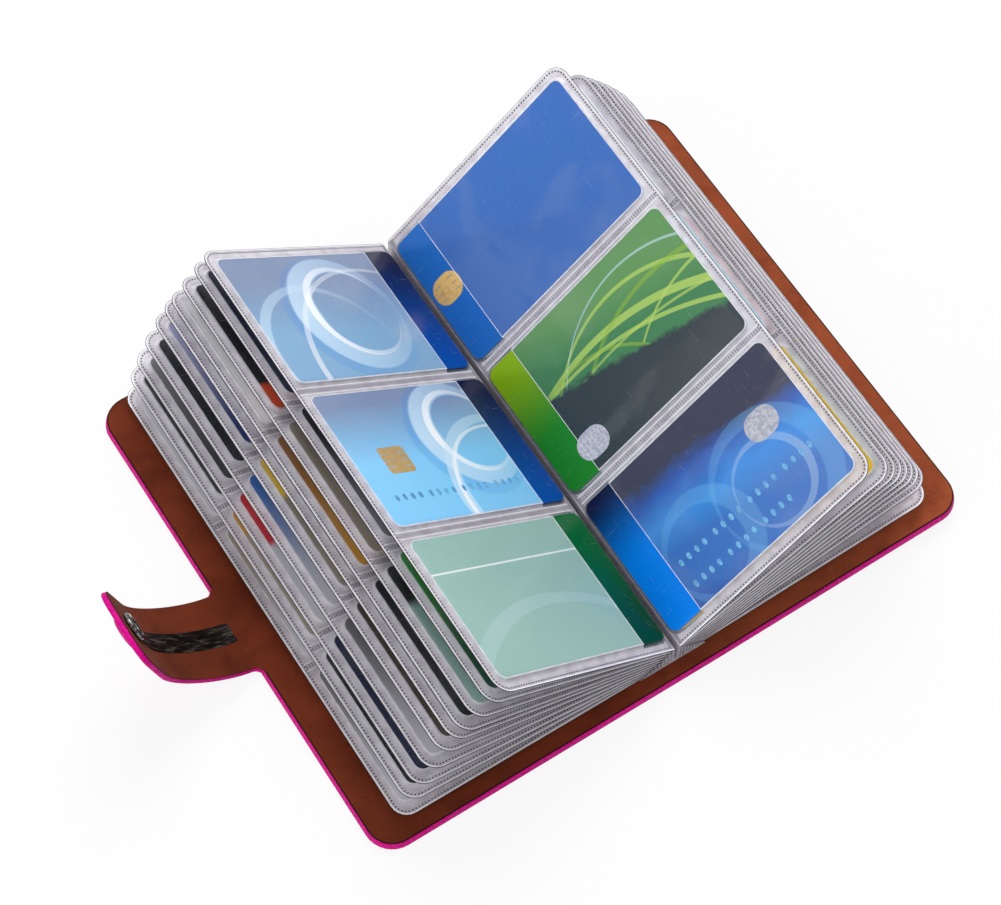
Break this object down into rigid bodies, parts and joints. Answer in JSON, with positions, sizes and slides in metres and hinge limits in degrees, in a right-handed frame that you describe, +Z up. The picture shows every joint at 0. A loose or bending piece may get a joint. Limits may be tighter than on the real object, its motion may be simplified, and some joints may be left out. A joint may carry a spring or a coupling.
{
  "type": "business card organizer",
  "caption": "Open card book with a padded cover, a snap strap on one fore edge, and fanned clear leaves whose pockets hold plastic cards.",
  "frame": {"origin": "centre of the spine's flat underside, midway between the two folds and between head and tail", "axes": "+X from the front cover and its strap to the back cover, +Y from tail to head along the spine, +Z up from the table"},
  "size_m": [0.2741, 0.1886, 0.0747],
  "materials": {
    "skin": "satin grained",
    "board": "matt",
    "lining": "matt, fine nap",
    "film": "gloss, clear",
    "binding": "satin, frosted",
    "stiffener": "creased",
    "snap": "polished",
    "cap": "gloss",
    "card": "gloss"
  },
  "bodies": {
    "spine": {"spine_skin": "skin", "spine_board": "board", "spine_lining": "lining", "page_binding": "binding"},
    "front_cover": {"front_cover_skin": "skin", "front_cover_board": "board", "front_cover_lining": "lining"},
    "back_cover": {"back_cover_skin": "skin", "back_cover_board": "board", "back_cover_lining": "lining", "snap_stud": "snap"},
    "strap_root": {"strap_root_skin": "skin", "strap_root_lining": "lining", "strap_root_stiffener": "stiffener"},
    "strap_tip": {"strap_tip_skin": "skin", "strap_tip_lining": "lining", "strap_tip_stiffener": "stiffener", "snap_cap": "cap", "snap_socket": "snap"},
    "left_leaf_1": {"left_leaf_1": "film"},
    "left_card_1_tail": {"left_card_1_tail": "card"},
    "left_card_1_middle": {"left_card_1_middle": "card"},
    "left_card_1_head": {"left_card_1_head": "card"},
    "left_leaf_2": {"left_leaf_2": "film", "left_card_2_tail": "card", "left_card_2_middle": "card", "left_card_2_head": "card"},
    "left_leaf_3": {"left_leaf_3": "film", "left_card_3_tail": "card", "left_card_3_middle": "card", "left_card_3_head": "card"},
    "left_leaf_4": {"left_leaf_4": "film", "left_card_4_tail": "card", "left_card_4_middle": "card", "left_card_4_head": "card"},
    "left_leaf_5": {"left_leaf_5": "film"},
    "left_leaf_6": {"left_leaf_6": "film"},
    "left_leaf_7": {"left_leaf_7": "film"},
    "left_leaf_8": {"left_leaf_8": "film"},
    "left_leaf_9": {"left_leaf_9": "film"},
    "left_leaf_10": {"left_leaf_10": "film"},
    "right_leaf_1": {"right_leaf_1": "film"},
    "right_card_1_tail": {"right_card_1_tail": "card"},
    "right_card_1_middle": {"right_card_1_middle": "card"},
    "right_card_1_head": {"right_card_1_head": "card"},
    "right_leaf_2": {"right_leaf_2": "film", "right_card_2_tail": "card", "right_card_2_middle": "card", "right_card_2_head": "card"},
    "right_leaf_3": {"right_leaf_3": "film", "right_card_3_tail": "card", "right_card_3_middle": "card", "right_card_3_head": "card"},
    "right_leaf_4": {"right_leaf_4": "film"},
    "right_leaf_5": {"right_leaf_5": "film"},
    "right_leaf_6": {"right_leaf_6": "film"},
    "right_leaf_7": {"right_leaf_7": "film"},
    "right_leaf_8": {"right_leaf_8": "film"},
    "right_leaf_9": {"right_leaf_9": "film"}
  },
  "joints": [
    {"name": "front_cover_fold", "type": "hinge", "parent": "spine", "child": "front_cover", "pos_m": [-0.01402, 0, 0.004], "axis": [0, 1, 0], "range_deg": [0, 90]},
    {"name": "back_cover_fold", "type": "hinge", "parent": "spine", "child": "back_cover", "pos_m": [0.01402, 0, 0.004], "axis": [0, -1, 0], "range_deg": [0, 88.28]},
    {"name": "strap_root_fold", "type": "hinge", "parent": "front_cover", "child": "strap_root", "pos_m": [-0.11798, 0, 0.0017], "axis": [0, 1, 0], "range_deg": [-30, 48]},
    {"name": "strap_tip_fold", "type": "hinge", "parent": "strap_root", "child": "strap_tip", "pos_m": [-0.14647, 0, 0.02735], "axis": [0, 1, 0], "range_deg": [-34, 56]},
    {"name": "left_leaf_1_turn", "type": "hinge", "parent": "spine", "child": "left_leaf_1", "pos_m": [-0.00122, 0.0027, 0.01496], "axis": [0, 1, 0], "range_deg": [0, 51.4]},
    {"name": "left_tail_card_slide", "type": "slide", "parent": "left_leaf_1", "child": "left_card_1_tail", "axis": [0.7815, 0, -0.6239], "range_m": [0, 0.0014]},
    {"name": "left_middle_card_slide", "type": "slide", "parent": "left_leaf_1", "child": "left_card_1_middle", "axis": [0.7815, 0, -0.6239], "range_m": [0, 0.0014]},
    {"name": "left_head_card_slide", "type": "slide", "parent": "left_leaf_1", "child": "left_card_1_head", "axis": [0.7815, 0, -0.6239], "range_m": [0, 0.0014]},
    {"name": "left_leaf_2_turn", "type": "hinge", "parent": "spine", "child": "left_leaf_2", "pos_m": [-0.00252, 0.0027, 0.01392], "axis": [0, 1, 0], "range_deg": [0, 53.9]},
    {"name": "left_leaf_3_turn", "type": "hinge", "parent": "spine", "child": "left_leaf_3", "pos_m": [-0.00382, 0.0027, 0.01288], "axis": [0, 1, 0], "range_deg": [0, 57.6]},
    {"name": "left_leaf_4_turn", "type": "hinge", "parent": "spine", "child": "left_leaf_4", "pos_m": [-0.00512, 0.0027, 0.01184], "axis": [0, 1, 0], "range_deg": [0, 61.1]},
    {"name": "left_leaf_5_turn", "type": "hinge", "parent": "spine", "child": "left_leaf_5", "pos_m": [-0.00642, 0.0027, 0.0108], "axis": [0, 1, 0], "range_deg": [0, 62.8]},
    {"name": "left_leaf_6_turn", "type": "hinge", "parent": "spine", "child": "left_leaf_6", "pos_m": [-0.00772, 0.0027, 0.00976], "axis": [0, 1, 0], "range_deg": [0, 66.1]},
    {"name": "left_leaf_7_turn", "type": "hinge", "parent": "spine", "child": "left_leaf_7", "pos_m": [-0.00902, 0.0027, 0.00872], "axis": [0, 1, 0], "range_deg": [0, 71.3]},
    {"name": "left_leaf_8_turn", "type": "hinge", "parent": "spine", "child": "left_leaf_8", "pos_m": [-0.01032, 0.0027, 0.00768], "axis": [0, 1, 0], "range_deg": [0, 76.6]},
    {"name": "left_leaf_9_turn", "type": "hinge", "parent": "spine", "child": "left_leaf_9", "pos_m": [-0.01162, 0.0027, 0.00664], "axis": [0, 1, 0], "range_deg": [0, 81.6]},
    {"name": "left_leaf_10_turn", "type": "hinge", "parent": "spine", "child": "left_leaf_10", "pos_m": [-0.01292, 0.0027, 0.0056], "axis": [0, 1, 0], "range_deg": [0, 88.8]},
    {"name": "right_leaf_1_turn", "type": "hinge", "parent": "spine", "child": "right_leaf_1", "pos_m": [0.00122, 0.0027, 0.01496], "axis": [0, -1, 0], "range_deg": [0, 48.5]},
    {"name": "right_tail_card_slide", "type": "slide", "parent": "right_leaf_1", "child": "right_card_1_tail", "axis": [-0.749, 0, -0.6626], "range_m": [0, 0.0014]},
    {"name": "right_middle_card_slide", "type": "slide", "parent": "right_leaf_1", "child": "right_card_1_middle", "axis": [-0.749, 0, -0.6626], "range_m": [0, 0.0014]},
    {"name": "right_head_card_slide", "type": "slide", "parent": "right_leaf_1", "child": "right_card_1_head", "axis": [-0.749, 0, -0.6626], "range_m": [0, 0.0014]},
    {"name": "right_leaf_2_turn", "type": "hinge", "parent": "spine", "child": "right_leaf_2", "pos_m": [0.00252, 0.0027, 0.01392], "axis": [0, -1, 0], "range_deg": [0, 57.6]},
    {"name": "right_leaf_3_turn", "type": "hinge", "parent": "spine", "child": "right_leaf_3", "pos_m": [0.00382, 0.0027, 0.01288], "axis": [0, -1, 0], "range_deg": [0, 60.8]},
    {"name": "right_leaf_4_turn", "type": "hinge", "parent": "spine", "child": "right_leaf_4", "pos_m": [0.00512, 0.0027, 0.01184], "axis": [0, -1, 0], "range_deg": [0, 63.2]},
    {"name": "right_leaf_5_turn", "type": "hinge", "parent": "spine", "child": "right_leaf_5", "pos_m": [0.00642, 0.0027, 0.0108], "axis": [0, -1, 0], "range_deg": [0, 65.8]},
    {"name": "right_leaf_6_turn", "type": "hinge", "parent": "spine", "child": "right_leaf_6", "pos_m": [0.00772, 0.0027, 0.00976], "axis": [0, -1, 0], "range_deg": [0, 68.6]},
    {"name": "right_leaf_7_turn", "type": "hinge", "parent": "spine", "child": "right_leaf_7", "pos_m": [0.00902, 0.0027, 0.00872], "axis": [0, -1, 0], "range_deg": [0, 71.4]},
    {"name": "right_leaf_8_turn", "type": "hinge", "parent": "spine", "child": "right_leaf_8", "pos_m": [0.01032, 0.0027, 0.00768], "axis": [0, -1, 0], "range_deg": [0, 75.4]},
    {"name": "right_leaf_9_turn", "type": "hinge", "parent": "spine", "child": "right_leaf_9", "pos_m": [0.01162, 0.0027, 0.00664], "axis": [0, -1, 0], "range_deg": [0, 85.8]}
  ],
  "couplings": [
    {"joint": "left_leaf_1_turn", "follows": "front_cover_fold", "ratio": 0.57111},
    {"joint": "left_leaf_2_turn", "follows": "front_cover_fold", "ratio": 0.59889},
    {"joint": "left_leaf_3_turn", "follows": "front_cover_fold", "ratio": 0.64},
    {"joint": "left_leaf_4_turn", "follows": "front_cover_fold", "ratio": 0.67889},
    {"joint": "left_leaf_5_turn", "follows": "front_cover_fold", "ratio": 0.69778},
    {"joint": "left_leaf_6_turn", "follows": "front_cover_fold", "ratio": 0.73444},
    {"joint": "left_leaf_7_turn", "follows": "front_cover_fold", "ratio": 0.79222},
    {"joint": "left_leaf_8_turn", "follows": "front_cover_fold", "ratio": 0.85111},
    {"joint": "left_leaf_9_turn", "follows": "front_cover_fold", "ratio": 0.90667},
    {"joint": "left_leaf_10_turn", "follows": "front_cover_fold", "ratio": 0.98667},
    {"joint": "right_leaf_1_turn", "follows": "back_cover_fold", "ratio": 0.5494},
    {"joint": "right_leaf_2_turn", "follows": "back_cover_fold", "ratio": 0.65248},
    {"joint": "right_leaf_3_turn", "follows": "back_cover_fold", "ratio": 0.68873},
    {"joint": "right_leaf_4_turn", "follows": "back_cover_fold", "ratio": 0.71592},
    {"joint": "right_leaf_5_turn", "follows": "back_cover_fold", "ratio": 0.74537},
    {"joint": "right_leaf_6_turn", "follows": "back_cover_fold", "ratio": 0.77709},
    {"joint": "right_leaf_7_turn", "follows": "back_cover_fold", "ratio": 0.80881},
    {"joint": "right_leaf_8_turn", "follows": "back_cover_fold", "ratio": 0.85412},
    {"joint": "right_leaf_9_turn", "follows": "back_cover_fold", "ratio": 0.97193}
  ]
}
